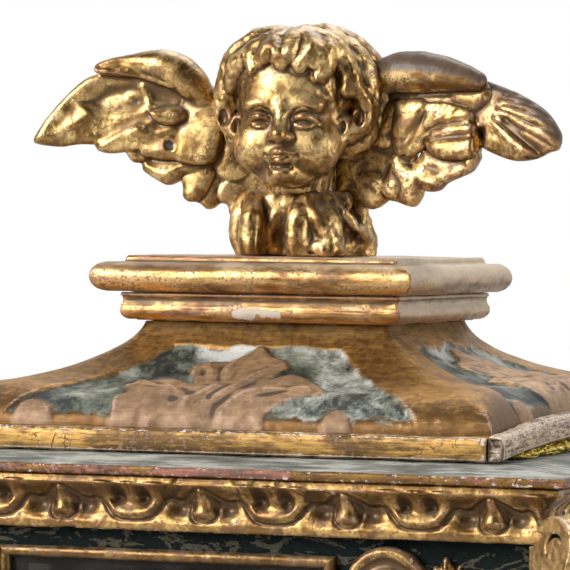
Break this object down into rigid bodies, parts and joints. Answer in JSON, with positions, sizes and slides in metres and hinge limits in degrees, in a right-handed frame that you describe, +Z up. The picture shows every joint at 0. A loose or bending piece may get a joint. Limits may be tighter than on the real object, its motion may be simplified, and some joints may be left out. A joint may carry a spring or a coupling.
{
  "type": "reliquary display case",
  "caption": "Square gilded and marbled wooden case with glazed sides, a rear door, and a lift-off concave roof that carries a winged cherub's head.",
  "frame": {"origin": "on the floor under the middle of the case", "axes": "+Z up, the front with its cherub's face towards -Y, +X to the front's right"},
  "size_m": [0.494, 0.494, 0.6355],
  "materials": {
    "gilding": "water gilding over red bole, worn, with brown dirt in the hollows",
    "worn_gilding": "worn gilding, scratched and cracked",
    "marbled_wood": "dark green painted marbling",
    "grey_wood": "weathered, dusty",
    "bare_wood": "old bare softwood",
    "glass": "old clear pane",
    "velvet": "crimson velvet",
    "tinsel": "crumpled foil",
    "iron": "dark forged iron"
  },
  "bodies": {
    "case": {"cornice_front": "gilding", "cornice_right": "gilding", "cornice_back": "gilding", "cornice_left": "gilding", "front_window_bead": "gilding", "right_window_bead": "gilding", "left_window_bead": "gilding", "front_scroll_left": "gilding", "front_scroll_right": "gilding", "right_scroll_left": "gilding", "right_scroll_right": "gilding", "left_scroll_left": "gilding", "left_scroll_right": "gilding", "console_front_left": "gilding", "console_front_right": "gilding", "console_back_left": "gilding", "console_back_right": "gilding", "foot_front_left": "gilding", "foot_front_right": "gilding", "foot_back_left": "gilding", "foot_back_right": "gilding", "base_moulding": "gilding", "relic_step": "gilding", "base_board": "worn_gilding", "front_wall": "marbled_wood", "right_wall": "marbled_wood", "back_wall": "marbled_wood", "left_wall": "marbled_wood", "top_slab": "grey_wood", "front_glazing_fillet": "bare_wood", "right_glazing_fillet": "bare_wood", "left_glazing_fillet": "bare_wood", "roof_locating_frame": "bare_wood", "front_glass": "glass", "right_glass": "glass", "left_glass": "glass", "velvet_pad": "velvet", "case_floor": "velvet", "tinsel_packing": "tinsel", "upper_hinge_fixed_leaf": "iron", "lower_hinge_fixed_leaf": "iron", "turn_button_pin": "iron"},
    "roof": {"roof_body": "worn_gilding", "roof_strip_front": "worn_gilding", "roof_strip_right": "worn_gilding", "roof_strip_back": "worn_gilding", "roof_strip_left": "worn_gilding", "plinth_lower_board": "gilding", "plinth_upper_board": "gilding", "finial_dowel": "bare_wood", "cherub_head": "gilding", "cherub_collar": "gilding", "left_wing": "gilding", "right_wing": "gilding"},
    "door": {"door_frame": "marbled_wood", "door_panel": "bare_wood", "door_knob": "gilding", "upper_hinge_moving_leaf": "iron", "lower_hinge_moving_leaf": "iron"},
    "button": {"turn_button": "iron"}
  },
  "joints": [
    {"name": "roof_lift", "type": "slide", "parent": "case", "child": "roof", "axis": [0, 0, 1], "range_m": [0, 0.12]},
    {"name": "door_hinge", "type": "hinge", "parent": "case", "child": "door", "pos_m": [-0.1204, 0.1995, 0.2156], "axis": [0, 0, 1], "range_deg": [0, 110]},
    {"name": "button_turn", "type": "hinge", "parent": "case", "child": "button", "pos_m": [0.129, 0.196, 0.2156], "axis": [0, 1, 0], "range_deg": [0, 90]}
  ]
}
